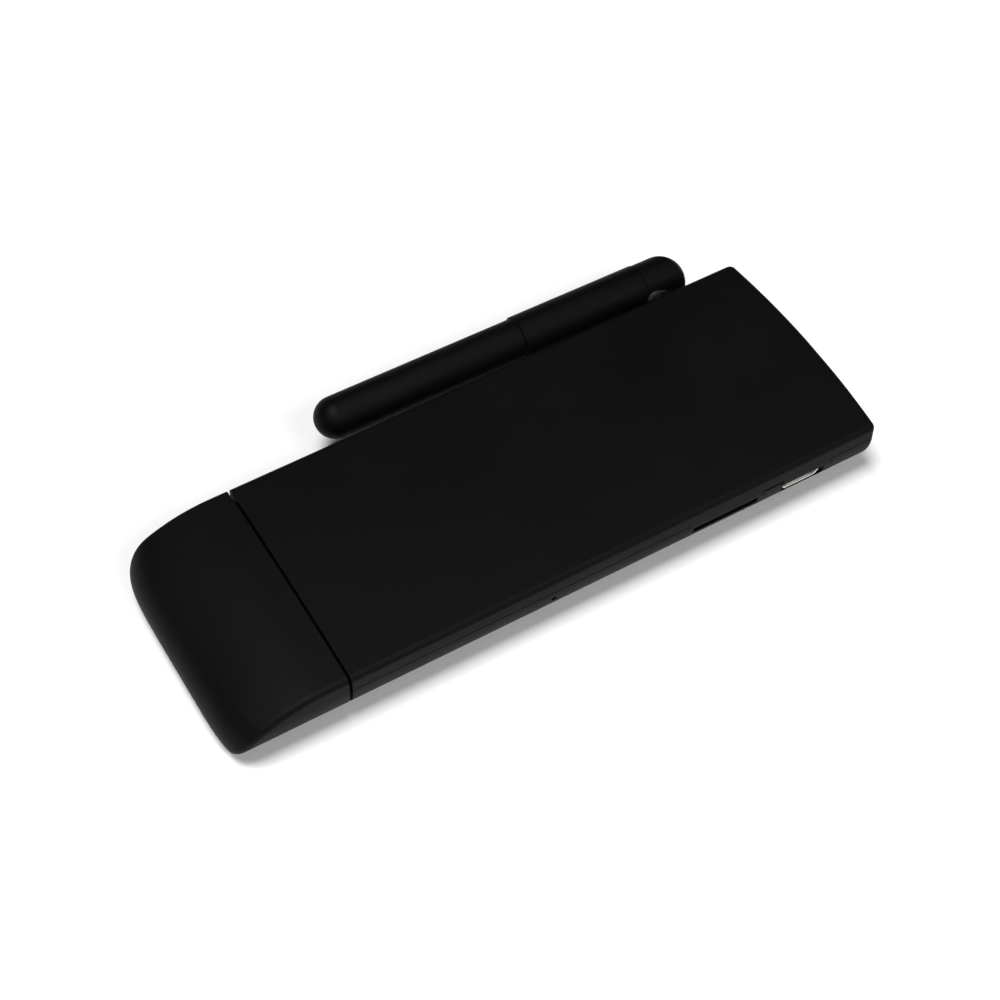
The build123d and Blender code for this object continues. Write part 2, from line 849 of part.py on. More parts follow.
# Card socket: a base with two rails, a sheet-metal cover and the contacts
card_rear = card_socket_depth - card_socket_front
card_inside = card_socket_width / 2 - card_sheet
with BuildPart() as card_socket_cover:
    add(
        block(
            (card_x - card_socket_width / 2, card_x + card_socket_width / 2),
            (-card_socket_front, card_rear),
            (board_top, card_socket_top),
        )
    )
    add(
        block(
            (card_x - card_inside, card_x + card_inside),
            (-card_socket_front - overcut, card_rear - card_sheet),
            (board_top - overcut, card_socket_top - card_sheet),
        ),
        mode=Mode.SUBTRACT,
    )

with BuildPart() as card_socket_body:
    add(
        block(
            (card_x - card_inside, card_x + card_inside),
            (-card_socket_front, card_rear - card_sheet),
            (board_top, card_socket_top - card_sheet),
        )
    )
    add(
        block(
            (card_x - card_inside + card_rail, card_x + card_inside - card_rail),
            (-card_socket_front - overcut, card_rear - card_sheet - card_rail),
            (board_top + card_base, card_socket_top),
        ),
        mode=Mode.SUBTRACT,
    )

with BuildPart() as card_contacts:
    with BuildSketch(Plane.XY.offset(board_top + card_base)):
        with Locations((card_x, card_rear - card_sheet - card_rail - card_contact_size[1] / 2)):
            with GridLocations(card_contact_pitch, 0, card_contact_count, 1):
                Rectangle(card_contact_size[0], card_contact_size[1])
    extrude(amount=card_contact_size[2])

# Power socket: a shell with a flared lip, a moulded tongue and its contacts
power_lip = -power_front
power_throat = power_lip + power_flare_length
with BuildPart() as power_socket_shell:
    with BuildSketch(far_plane(power_middle_x, power_throat, power_base)):
        Polygon(*power_outline(0.0), align=None)
        Polygon(*power_outline(-power_sheet), align=None, mode=Mode.SUBTRACT)
    extrude(amount=power_rear - power_throat)
    with BuildSketch(far_plane(power_middle_x, power_lip, power_base)):
        Polygon(*power_outline(power_flare), align=None)
    with BuildSketch(far_plane(power_middle_x, power_throat, power_base)):
        Polygon(*power_outline(0.0), align=None)
    loft()
    with BuildSketch(far_plane(power_middle_x, power_lip, power_base)):
        Polygon(*power_outline(power_flare - power_sheet), align=None)
    with BuildSketch(far_plane(power_middle_x, power_throat, power_base)):
        Polygon(*power_outline(-power_sheet), align=None)
    loft(mode=Mode.SUBTRACT)

power_tongue_base = power_base + power_height - power_sheet - power_tongue_drop - power_tongue_size[1]
power_tongue_front = power_rear - power_block_depth - power_tongue_size[2]
with BuildPart() as power_contacts:
    outline = contact_outline(
        power_tongue_front + power_contact_setback,
        power_rear,
        power_tongue_base,
        board_top,
        power_contact_size[1],
        solder_foot / 2,
    )
    with BuildSketch(
        *[
            cross_plane(power_middle_x + offset_x - power_contact_size[0] / 2)
            for offset_x in spread(power_contact_count, power_contact_pitch)
        ]
    ):
        Polygon(*outline, align=None)
    extrude(amount=power_contact_size[0])

with BuildPart() as power_socket_tongue:
    with BuildSketch(far_plane(power_middle_x, power_rear - power_block_depth, power_base)):
        Polygon(*power_outline(-power_sheet), align=None)
    extrude(amount=power_block_depth)
    add(
        block(
            (power_middle_x - power_tongue_size[0] / 2, power_middle_x + power_tongue_size[0] / 2),
            (power_tongue_front, power_rear),
            (power_tongue_base, power_tongue_base + power_tongue_size[1]),
        )
    )
    add(power_contacts.part, mode=Mode.SUBTRACT)

# Host socket: a rectangular shell, a moulded tongue near its top, and contacts under the tongue
host_top = host_base + host_height
host_tongue_base = host_top - host_sheet - host_tongue_drop - host_tongue_size[1]
with BuildPart() as host_socket_shell:
    with BuildSketch(cross_plane(host_rear, host_base + host_height / 2)):
        RectangleRounded(host_width, host_height, host_corner)
        RectangleRounded(
            host_width - 2 * host_sheet,
            host_height - 2 * host_sheet,
            host_corner - host_sheet,
            mode=Mode.SUBTRACT,
        )
    extrude(amount=host_depth)

with BuildPart() as host_contacts:
    outline = contact_outline(
        host_rear + host_block_depth + host_contact_size[2],
        host_rear,
        host_tongue_base,
        board_top,
        host_contact_size[1],
        solder_foot,
    )
    with BuildSketch(*rows(host_contact_count, host_contact_pitch, host_contact_size[0])):
        Polygon(*outline, align=None)
    extrude(amount=host_contact_size[0])

with BuildPart() as host_socket_tongue:
    with BuildSketch(cross_plane(host_rear, host_base + host_height / 2)):
        RectangleRounded(host_width - 2 * host_sheet, host_height - 2 * host_sheet, host_corner - host_sheet)
    extrude(amount=host_block_depth)
    add(
        block(
            (host_rear, host_rear + host_block_depth + host_tongue_size[2]),
            (-host_tongue_size[0] / 2, host_tongue_size[0] / 2),
            (host_tongue_base, host_tongue_base + host_tongue_size[1]),
        )
    )
    add(host_contacts.part, mode=Mode.SUBTRACT)

# Reset switch and the plunger that a pin pushes through the pinhole
switch_x = station(pinhole_station)
switch_front = -board_half_width
with BuildPart() as reset_switch_body:
    add(
        block(
            (switch_x - switch_size[0] / 2, switch_x + switch_size[0] / 2),
            (switch_front, switch_front + switch_size[1]),
            (board_top, board_top + switch_size[2]),
        )
    )
    with BuildSketch(far_plane(switch_x, switch_front, pinhole_height)):
        Rectangle(plunger_size[0] + 2 * plunger_fit, plunger_size[1] + 2 * plunger_fit)
    extrude(amount=plunger_root + plunger_travel + plunger_fit, mode=Mode.SUBTRACT)

with BuildPart() as reset_plunger:
    with BuildSketch(far_plane(switch_x, switch_front - plunger_reach, pinhole_height)):
        Rectangle(*plunger_size)
    extrude(amount=plunger_reach + plunger_root)

# Antenna hinge, along an axis parallel to Y
with BuildPart() as antenna_bush:
    add(pivot_disc(bush_inner_end, boss_face, bush_radius))
    add(pivot_disc(boss_face, boss_face + bush_flange_thickness, bush_flange_radius))
    add(pivot_disc(boss_face, collar_end, bush_collar_radius))
    add(
        pivot_disc(bush_inner_end - overcut, collar_end + overcut, shaft_radius + shaft_fit),
        mode=Mode.SUBTRACT,
    )

with BuildPart() as bush_nut:
    with BuildSketch(far_plane(pivot_x, hinge_pad_depth - nut_thickness, pivot_height)):
        RegularPolygon(nut_across_flats / 2, 6, major_radius=False)
        Circle(bush_radius, mode=Mode.SUBTRACT)
    extrude(amount=nut_thickness)

washer_start = collar_end + running_gap
with BuildPart() as friction_washer:
    add(pivot_disc(washer_start, washer_start + washer_thickness, washer_radius))
    add(pivot_disc(collar_end, spotface_y, shaft_radius + shaft_fit), mode=Mode.SUBTRACT)

clip_end = bush_inner_end - running_gap
with BuildPart() as pivot_clip:
    add(pivot_disc(clip_end - clip_thickness, clip_end, clip_radius))
    add(pivot_disc(shaft_inner_end, bush_inner_end, shaft_radius - clip_groove_depth), mode=Mode.SUBTRACT)
    add(
        block(
            (pivot_x - clip_mouth / 2, pivot_x + clip_mouth / 2),
            (shaft_inner_end, bush_inner_end),
            (pivot_height, pivot_height + 2 * clip_radius),
        ),
        mode=Mode.SUBTRACT,
    )

with BuildPart() as pivot_shaft:
    add(pivot_disc(shaft_inner_end, shaft_outer_end, shaft_radius))
    add(pivot_disc(shaft_inner_end, shaft_outer_end, shaft_bore_radius), mode=Mode.SUBTRACT)
    add(pivot_clip.part, mode=Mode.SUBTRACT)

# Antenna rod, drawn along its own axis from the pivot to the tip
rod_plane = Plane(
    (pivot_x, antenna_offset, pivot_height),
    x_dir=(-cos(radians(antenna_lift)), 0, sin(radians(antenna_lift))),
    z_dir=(0, 1, 0),
)
rod_axis = Axis(rod_plane.origin, rod_plane.x_dir)
sleeve_root = knuckle_reach + knuckle_groove
spigot_end = sleeve_root + knuckle_spigot_length
radiator_start = spigot_end + rod_fit
radiator_end = radiator_start + radiator_length
wire_end = radiator_end + radiator_wire_length
feed_points = [
    Vector(pivot_x, lead_end + running_gap, pivot_height),
    rod_plane.origin,
    rod_plane.from_local_coords(Vector(radiator_end, 0, 0)),
]

with BuildPart() as antenna_sleeve:
    with BuildSketch(rod_plane):
        with BuildLine():
            Polyline(
                (wire_end + rod_fit, 0),
                (wire_end + rod_fit, radiator_wire_radius + rod_fit),
                (radiator_end, radiator_wire_radius + rod_fit),
                (radiator_end, radiator_radius + rod_fit),
                (sleeve_root, radiator_radius + rod_fit),
                (sleeve_root, antenna_thick_radius - antenna_edge_round),
                (sleeve_root + antenna_edge_round, antenna_thick_radius),
                (antenna_step_reach, antenna_thick_radius),
                (antenna_step_reach + antenna_step_length, antenna_thin_radius),
                (antenna_tip_reach - antenna_thin_radius, antenna_thin_radius),
            )
            ThreePointArc(
                (antenna_tip_reach - antenna_thin_radius, antenna_thin_radius),
                (
                    antenna_tip_reach - antenna_thin_radius * (1 - sqrt(0.5)),
                    antenna_thin_radius * sqrt(0.5),
                ),
                (antenna_tip_reach, 0),
            )
            Line((antenna_tip_reach, 0), (wire_end + rod_fit, 0))
        make_face()
    revolve(axis=rod_axis)
    add(pivot_disc(collar_end, spotface_y, spotface_radius), mode=Mode.SUBTRACT)

# The knuckle's end is part of a ball whose centre lies nearer to the housing than the rod's own axis
dome_axis = Axis(rod_plane.origin - Vector(0, knuckle_dome_shift, 0), rod_plane.x_dir)
dome_plane = Plane(dome_axis.position, x_dir=rod_plane.x_dir, z_dir=rod_plane.z_dir)
dome_end = -knuckle_dome_back - knuckle_dome_radius
with BuildPart() as knuckle_dome:
    with BuildSketch(dome_plane):
        with BuildLine():
            Line((dome_end, 0), (spigot_end, 0))
            Polyline(
                (spigot_end, 0),
                (spigot_end, knuckle_dome_radius),
                (-knuckle_dome_back, knuckle_dome_radius),
            )
            RadiusArc((-knuckle_dome_back, knuckle_dome_radius), (dome_end, 0), -knuckle_dome_radius)
        make_face()
    revolve(axis=dome_axis)

with BuildPart() as antenna_knuckle:
    with BuildSketch(rod_plane):
        with BuildLine():
            Polyline(
                (dome_end, 0),
                (spigot_end, 0),
                (spigot_end, knuckle_spigot_radius),
                (sleeve_root, knuckle_spigot_radius),
                (sleeve_root, knuckle_radius - knuckle_groove_depth),
                (knuckle_reach, knuckle_radius - knuckle_groove_depth),
                (knuckle_reach, knuckle_radius - antenna_edge_round),
                (knuckle_reach - antenna_edge_round, knuckle_radius),
                (dome_end, knuckle_radius),
                close=True,
            )
        make_face()
    revolve(axis=rod_axis)
    add(knuckle_dome.part, mode=Mode.INTERSECT)
    add(pivot_disc(collar_end, spotface_y, spotface_radius), mode=Mode.SUBTRACT)
    add(pivot_disc(collar_end, shaft_outer_end, shaft_radius), mode=Mode.SUBTRACT)
    add(cord(feed_points, [feed_bend], feed_bore_radius), mode=Mode.SUBTRACT)

with BuildPart() as radiator_sleeve:
    with BuildSketch(rod_plane):
        with Locations(((radiator_start + radiator_end) / 2, (radiator_radius + radiator_bore_radius) / 2)):
            Rectangle(radiator_length, radiator_radius - radiator_bore_radius)
    revolve(axis=rod_axis)

with BuildPart() as radiator_wire:
    with BuildSketch(rod_plane):
        with Locations(((radiator_end + wire_end) / 2, radiator_wire_radius / 2)):
            Rectangle(radiator_wire_length, radiator_wire_radius)
    revolve(axis=rod_axis)

with BuildPart() as feed_wire:
    add(cord(feed_points, [feed_bend], feed_radius))

# Antenna lead, from its connector on the board through the hollow pivot
connector_x = station(lead_connector_place[0])
connector_base = board_top + board_connector_size[2]
lead_height = connector_base + lead_connector_height / 2
lead_points = [
    Vector(connector_x + lead_connector_radius + lead_tail, lead_connector_place[1], lead_height),
    Vector(pivot_x, lead_connector_place[1], pivot_height),
    Vector(pivot_x, lead_end, pivot_height),
]
lead_bend = bend_radius(lead_points)
print("antenna lead bend", round(lead_bend, 2), "wire diameters", round(lead_bend / (2 * lead_radius), 2))
with BuildPart() as antenna_lead:
    add(cord(lead_points, [lead_bend], lead_radius))

board_connector = chip(board_connector_size, [lead_connector_place], board_top)
with BuildPart() as lead_connector:
    with BuildSketch(Plane.XY.offset(connector_base)):
        with Locations((connector_x, lead_connector_place[1])):
            Circle(lead_connector_radius)
        with Locations((connector_x + (lead_connector_radius + lead_tail) / 2, lead_connector_place[1])):
            Rectangle(lead_connector_radius + lead_tail, 2 * lead_radius)
    extrude(amount=lead_connector_height)

nodes = {
    "top_shell": top_shell.part,
    "bottom_shell": bottom_shell.part,
    "plug_cap": plug_cap.part,
    "av_plug_shell": av_plug_shell.part,
    "av_plug_insulator": av_plug_insulator.part,
    "av_plug_contacts": av_plug_contacts.part,
    "main_board": main_board.part,
    "board_screws": board_screws.part,
    "processor_chip": processor_chip,
    "heat_pad": heat_pad,
    "heat_spreader": heat_spreader,
    "memory_chips": memory_chips,
    "flash_chip": flash_chip,
    "power_chip": power_chip,
    "radio_module": radio_module,
    "radio_shield": radio_shield.part,
    "crystals": crystals,
    "inductors": inductors.part,
    "capacitors": capacitors.part,
    "resistors": resistors.part,
    "card_socket_cover": card_socket_cover.part,
    "card_socket_body": card_socket_body.part,
    "card_contacts": card_contacts.part,
    "power_socket_shell": power_socket_shell.part,
    "power_socket_tongue": power_socket_tongue.part,
    "power_contacts": power_contacts.part,
    "host_socket_shell": host_socket_shell.part,
    "host_socket_tongue": host_socket_tongue.part,
    "host_contacts": host_contacts.part,
    "reset_switch_body": reset_switch_body.part,
    "reset_plunger": reset_plunger.part,
    "antenna_bush": antenna_bush.part,
    "bush_nut": bush_nut.part,
    "friction_washer": friction_washer.part,
    "pivot_clip": pivot_clip.part,
    "pivot_shaft": pivot_shaft.part,
    "antenna_sleeve": antenna_sleeve.part,
    "antenna_knuckle": antenna_knuckle.part,
    "radiator_sleeve": radiator_sleeve.part,
    "radiator_wire": radiator_wire.part,
    "feed_wire": feed_wire.part,
    "antenna_lead": antenna_lead.part,
    "board_connector": board_connector,
    "lead_connector": lead_connector.part,
}

os.makedirs("parts", exist_ok=True)
for name, solid in nodes.items():
    solid.label = name
    export_step(solid, f"parts/{name}.step")
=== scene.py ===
"""Looks of the streaming stick: finishes for its pieces, its studio and its camera.

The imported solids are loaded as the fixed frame. Every place and size is in metres in that frame:
+X runs away from the cap, +Y towards the antenna, +Z up from the housing's flat base.
"""

from __future__ import annotations

import logging
import math
from abc import ABC, abstractmethod
from dataclasses import dataclass
from enum import Enum, IntEnum
from typing import Any

import bpy
import numpy as np
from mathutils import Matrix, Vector

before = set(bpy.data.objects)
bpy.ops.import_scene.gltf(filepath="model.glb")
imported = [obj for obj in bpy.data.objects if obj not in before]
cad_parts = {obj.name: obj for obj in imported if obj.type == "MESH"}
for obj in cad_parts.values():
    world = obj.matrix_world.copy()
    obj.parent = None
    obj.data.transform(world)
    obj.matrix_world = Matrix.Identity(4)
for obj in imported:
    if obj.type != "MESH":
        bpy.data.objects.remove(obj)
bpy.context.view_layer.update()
LOG = logging.getLogger("stick")
Triple = tuple[float, float, float]
Socket = bpy.types.NodeSocket


class Sum(Enum):
    """The sums that a field can go through, with Blender's name for each."""

    LESS = "LESS_THAN"
    GREATER = "GREATER_THAN"
    PRODUCT = "MULTIPLY"
    LARGER = "MAXIMUM"


class MixSocket(IntEnum):
    """Where the colour sockets of a mix node lie in its lists of inputs and outputs."""

    SHARE = 0
    FIRST = 6
    SECOND = 7
    RESULT = 2


class Graph:
    """A small helper that adds shader nodes to one material and links them."""

    def __init__(self, material: bpy.types.Material) -> None:
        """Clears the material's nodes and keeps its tree.

        Args:
            material: The material whose nodes are built.
        """
        material.use_nodes = True
        self.tree = material.node_tree
        self.tree.nodes.clear()

    def node(self, kind: str, **settings: Any) -> bpy.types.Node:
        """Adds a node and sets its properties.

        Args:
            kind: Blender's name for the node's type.
            settings: Properties of the node, by name.

        Returns:
            The new node.
        """
        made = self.tree.nodes.new(kind)
        for name, value in settings.items():
            setattr(made, name, value)
        return made

    def link(self, source: Socket, target: Socket) -> None:
        """Joins an output socket to an input socket."""
        self.tree.links.new(source, target)

    def place(self, stretch: Triple = (1.0, 1.0, 1.0)) -> Socket:
        """Gives the object's own coordinates for a pattern, stretched along each axis.

        Args:
            stretch: How many times denser the pattern is along each axis.

        Returns:
            The socket with the coordinates.
        """
        source = self.node("ShaderNodeTexCoord").outputs["Object"]
        mapping = self.node("ShaderNodeMapping")
        mapping.inputs["Scale"].default_value = stretch
        self.link(source, mapping.inputs["Vector"])
        return mapping.outputs["Vector"]

    def noise(self, vector: Socket, scale: float, detail: float = 2.0, rough: float = 0.5) -> Socket:
        """Gives a soft random field between 0 and 1.

        Args:
            vector: The coordinates.
            scale: How many features lie along one metre.
            detail: How many finer layers are added.
            rough: How strong the finer layers are.

        Returns:
            The socket with the field.
        """
        made = self.node("ShaderNodeTexNoise", noise_dimensions="3D")
        made.inputs["Scale"].default_value = scale
        made.inputs["Detail"].default_value = detail
        made.inputs["Roughness"].default_value = rough
        self.link(vector, made.inputs["Vector"])
        return made.outputs["Fac"]

    def spread(
        self, value: Socket, low: float, high: float, start: float = 0.3, end: float = 0.7
    ) -> Socket:
        """Spreads a field over a range: start becomes low and end becomes high, with both held outside.

        Args:
            value: The field.
            low: What start becomes.
            high: What end becomes.
            start: The field's value at the low end.
            end: The field's value at the high end.

        Returns:
            The socket with the new field.
        """
        made = self.node("ShaderNodeMapRange")
        for name, number in (("From Min", start), ("From Max", end), ("To Min", low), ("To Max", high)):
            made.inputs[name].default_value = number
        self.link(value, made.inputs["Value"])
        return made.outputs["Result"]

    def fill(self, socket: Socket, value: Socket | Triple | float) -> None:
        """Links a socket to another one, or sets it to a colour or a number.

        Args:
            socket: The input socket.
            value: The output socket to link, or linear red, green and blue, or a number.
        """
        if isinstance(value, Socket):
            self.link(value, socket)
        elif isinstance(value, tuple):
            socket.default_value = (*value, 1)
        else:
            socket.default_value = value

    def blend(self, share: Socket, first: Socket | Triple, second: Triple) -> Socket:
        """Mixes two colours by a field.

        Args:
            share: 0 gives the first colour and 1 the second.
            first: Linear red, green and blue, or a socket with a colour.
            second: Linear red, green and blue.

        Returns:
            The socket with the colour.
        """
        made = self.node("ShaderNodeMix", data_type="RGBA")
        self.link(share, made.inputs[MixSocket.SHARE])
        self.fill(made.inputs[MixSocket.FIRST], first)
        self.fill(made.inputs[MixSocket.SECOND], second)
        return made.outputs[MixSocket.RESULT]

    def total(self, kind: Sum, first: Socket, second: Socket | float) -> Socket:
        """Works out one sum on two fields, or on a field and a number.

        Args:
            kind: Which sum.
            first: The first field.
            second: The second field, or a number.

        Returns:
            The socket with the result.
        """
        made = self.node("ShaderNodeMath", operation=kind.value)
        self.link(first, made.inputs[0])
        self.fill(made.inputs[1], second)
        return made.outputs[0]

    def bump(self, height: Socket, distance: float) -> Socket:
        """Turns a height field into a tilted normal.

        Args:
            height: The field of heights, between 0 and 1.
            distance: The real height, in metres, of a field value of 1.

        Returns:
            The socket with the normal.
        """
        made = self.node("ShaderNodeBump")
        made.inputs["Distance"].default_value = distance
        self.link(height, made.inputs["Height"])
        return made.outputs["Normal"]

    def surface(self, **sockets: Socket | Triple | float) -> None:
        """Adds the surface shader and the output, and fills the shader's sockets.

        Args:
            sockets: Socket names with spaces as underscores, and what fills each.
        """
        shader = self.node("ShaderNodeBsdfPrincipled")
        output = self.node("ShaderNodeOutputMaterial")
        self.link(shader.outputs["BSDF"], output.inputs["Surface"])
        for name, value in sockets.items():
            self.fill(shader.inputs[name.replace("_", " ")], value)


def scaled(tone: Triple, factor: float) -> Triple:
    """Gives a colour whose three channels are a factor times those of another."""
    return tuple(channel * factor for channel in tone)


class Finish(ABC):
    """A finish that can be put on pieces. It builds its material once."""

    name: str

    @abstractmethod
    def paint(self, graph: Graph) -> None:
        """Builds the shader nodes of the finish.

        Args:
            graph: The nodes of the finish's material.
        """

    def material(self) -> bpy.types.Material:
        """Gives the finish's material, made the first time that it is asked for.

        Returns:
            The material.
        """
        title = f"{self.name}_finish"
        found = bpy.data.materials.get(title)
        if found is None:
            found = bpy.data.materials.new(title)
            self.paint(Graph(found))
        return found


@dataclass(frozen=True)
class MouldedPlastic(Finish):
    """Spark-eroded moulded plastic: a fine grain, faint cloudy sheen, and a little dust.

    Attributes:
        name: The material's name.
        tone: Linear colour of the plastic.
        roughness: Middle of the gloss's roughness.
        specular: Strength of the gloss.
        grain: Grains along one metre.
        grain_depth: Height of the grain in metres.
        cloud: Clouds along one metre, where the gloss differs a little.
        cloud_spread: How far the roughness strays from its middle.
        cloud_tone: How much lighter the clouds are, as a factor.
        dust: Size of a dust speck as a share of its cell, or 0 for none.
        dust_cells: Cells along one metre, of which some hold a speck.
        dust_floor: The random number above which a cell holds a speck.
        dust_cover: How much of the plastic a speck hides, as a share.
        dust_tone: Linear colour of the dust.
    """

    name: str
    tone: Triple
    roughness: float = 0.5
    specular: float = 0.5
    grain: float = 5200.0
    grain_depth: float = 6e-6
    cloud: float = 60.0
    cloud_spread: float = 0.05
    cloud_tone: float = 1.25
    dust: float = 0.0
    dust_cells: float = 90.0
    dust_floor: float = 0.8
    dust_cover: float = 0.5
    dust_tone: Triple = (0.6, 0.6, 0.58)

    def paint(self, graph: Graph) -> None:
        """Builds the plastic's nodes.

        Args:
            graph: The nodes of the plastic's material.
        """
        place = graph.place()
        cloud = graph.noise(place, self.cloud, 3.0)
        fine = graph.noise(place, self.grain, 1.5, 0.6)
        rough = graph.spread(cloud, self.roughness - self.cloud_spread, self.roughness + self.cloud_spread)
        colour = graph.blend(graph.spread(cloud, 0.0, 1.0), self.tone, scaled(self.tone, self.cloud_tone))
        if self.dust > 0:
            colour = self._dusted(graph, place, colour)
        graph.surface(
            Base_Color=colour,
            Roughness=rough,
            Normal=graph.bump(fine, self.grain_depth),
            Specular_IOR_Level=self.specular,
        )

    def _dusted(self, graph: Graph, place: Socket, colour: Socket) -> Socket:
        """Adds pale specks, near the centres of the few cells whose random number is high.

        Args:
            graph: The material's nodes.
            place: The coordinates.
            colour: The plastic's colour.

        Returns:
            The socket with the dusted colour.
        """
        cells = graph.node("ShaderNodeTexVoronoi", feature="F1")
        cells.inputs["Scale"].default_value = self.dust_cells
        graph.link(place, cells.inputs["Vector"])
        near = graph.total(Sum.LESS, cells.outputs["Distance"], self.dust)
        number = graph.node("ShaderNodeSeparateColor")
        graph.link(cells.outputs["Color"], number.inputs["Color"])
        chosen = graph.total(Sum.GREATER, number.outputs["Red"], self.dust_floor)
        speck = graph.total(Sum.PRODUCT, near, chosen)
        return graph.blend(graph.total(Sum.PRODUCT, speck, self.dust_cover), colour, self.dust_tone)


@dataclass(frozen=True)
class PlatedMetal(Finish):
    """Plated or bare metal with fine drawing lines along one direction and faint stains.

    Attributes:
        name: The material's name.
        tone: Linear colour of the metal.
        roughness: Middle of the gloss's roughness.
        lines: How dense the drawing lines are along each axis, per metre.
        line_depth: Height of the lines in metres.
        stain: How much darker the stains are, as a share.
        stains: Stains along one metre.
        gloss: The roughness between and on the lines, as factors of its middle.
    """

    name: str
    tone: Triple
    roughness: float = 0.25
    lines: Triple = (600.0, 9000.0, 9000.0)
    line_depth: float = 1.5e-6
    stain: float = 0.18
    stains: float = 450.0
    gloss: tuple[float, float] = (0.7, 1.4)

    def paint(self, graph: Graph) -> None:
        """Builds the metal's nodes.

        Args:
            graph: The nodes of the metal's material.
        """
        lines = graph.noise(graph.place(self.lines), 1.0, 2.0)
        stains = graph.noise(graph.place(), self.stains, 4.0, 0.6)
        darker = scaled(self.tone, 1 - self.stain)
        smooth, rough = (self.roughness * factor for factor in self.gloss)
        graph.surface(
            Base_Color=graph.blend(graph.spread(stains, 0.0, 1.0), self.tone, darker),
            Metallic=1.0,
            Roughness=graph.spread(lines, smooth, rough),
            Normal=graph.bump(lines, self.line_depth),
        )


@dataclass(frozen=True)
class SolderMask(Finish):
    """A board's lacquer over copper: straight tracks stand slightly proud and paler, with vias as dots.

    Attributes:
        name: The material's name.
        tone: Linear colour of the bare laminate.
        track_tone: Linear colour over copper.
        track_cells: Track cells along one metre.
        track_edge: Where a track starts and ends to fade, as a share of its cell.
        track_disorder: How far the track cells stray from a regular grid, up to 1.
        via_cells: Via cells along one metre.
        via_edge: Where a via starts and ends to fade, as a share of its cell.
        copper_height: Height of the copper in metres.
        ripple: Ripples in the gloss along one metre.
        gloss: The least and greatest roughness under the lacquer.
        lacquer: Strength of the clear lacquer on top.
        lacquer_roughness: The lacquer's roughness.
    """

    name: str
    tone: Triple
    track_tone: Triple
    track_cells: float = 420.0
    track_edge: tuple[float, float] = (0.08, 0.12)
    track_disorder: float = 0.55
    via_cells: float = 500.0
    via_edge: tuple[float, float] = (0.10, 0.14)
    copper_height: float = 2.5e-5
    ripple: float = 900.0
    gloss: tuple[float, float] = (0.22, 0.34)
    lacquer: float = 0.35
    lacquer_roughness: float = 0.12

    def paint(self, graph: Graph) -> None:
        """Builds the board's nodes.

        Args:
            graph: The nodes of the board's material.
        """
        place = graph.place()
        tracks = graph.node("ShaderNodeTexVoronoi", feature="DISTANCE_TO_EDGE")
        tracks.inputs["Scale"].default_value = self.track_cells
        tracks.inputs["Randomness"].default_value = self.track_disorder
        graph.link(place, tracks.inputs["Vector"])
        copper = graph.spread(tracks.outputs["Distance"], 1.0, 0.0, *self.track_edge)
        vias = graph.node("ShaderNodeTexVoronoi", feature="F1")
        vias.inputs["Scale"].default_value = self.via_cells
        graph.link(place, vias.inputs["Vector"])
        dot = graph.spread(vias.outputs["Distance"], 1.0, 0.0, *self.via_edge)
        metal = graph.total(Sum.LARGER, copper, dot)
        graph.surface(
            Base_Color=graph.blend(metal, self.tone, self.track_tone),
            Roughness=graph.spread(graph.noise(place, self.ripple, 2.0), *self.gloss),
            Normal=graph.bump(metal, self.copper_height),
            Coat_Weight=self.lacquer,
            Coat_Roughness=self.lacquer_roughness,
        )


@dataclass(frozen=True)
class MouldedResin(Finish):
    """A chip's resin: dark, slightly pitted, and polished a little at random.

    Attributes:
        name: The material's name.
        tone: Linear colour.
        roughness: Middle of the gloss's roughness.
        polish: How far the roughness strays from its middle.
        pits: Pits along one metre.
        pit_depth: Depth of the pits in metres.
        swirl: Paler swirls along one metre.
    """

    name: str
    tone: Triple
    roughness: float = 0.42
    polish: float = 0.08
    pits: float = 16000.0
    pit_depth: float = 5e-6
    swirl: float = 350.0

    def paint(self, graph: Graph) -> None:
        """Builds the resin's nodes.

        Args:
            graph: The nodes of the resin's material.
        """
        place = graph.place()
        pits = graph.noise(place, self.pits, 2.0, 0.7)
        swirl = graph.noise(place, self.swirl, 3.0)
        graph.surface(
            Base_Color=graph.blend(graph.spread(swirl, 0.0, 1.0), self.tone, scaled(self.tone, 1.5)),
            Roughness=graph.spread(swirl, self.roughness - self.polish, self.roughness + self.polish),
            Normal=graph.bump(pits, self.pit_depth),
        )


@dataclass(frozen=True)
class SoftRubber(Finish):
    """Rubber or a cord's jacket: matt, with a soft sheen and a fine orange peel.

    Attributes:
        name: The material's name.
        tone: Linear colour.
        roughness: Middle of the gloss's roughness.
        roughness_spread: How far the roughness strays from its middle.
        sheen: Strength of the sheen.
        peel: Bumps of the orange peel along one metre.
        peel_depth: Height of the bumps in metres.
        cloud: Clouds along one metre, where colour and gloss differ a little.
    """

    name: str
    tone: Triple
    roughness: float = 0.65
    roughness_spread: float = 0.06
    sheen: float = 0.15
    peel: float = 3200.0
    peel_depth: float = 8e-6
    cloud: float = 240.0

    def paint(self, graph: Graph) -> None:
        """Builds the rubber's nodes.

        Args:
            graph: The nodes of the rubber's material.
        """
        place = graph.place()
        peel = graph.noise(place, self.peel, 2.0)
        cloud = graph.noise(place, self.cloud, 2.0)
        low, high = self.roughness - self.roughness_spread, self.roughness + self.roughness_spread
        graph.surface(
            Base_Color=graph.blend(graph.spread(cloud, 0.0, 1.0), self.tone, scaled(self.tone, 1.2)),
            Roughness=graph.spread(cloud, low, high),
            Normal=graph.bump(peel, self.peel_depth),
            Sheen_Weight=self.sheen,
        )


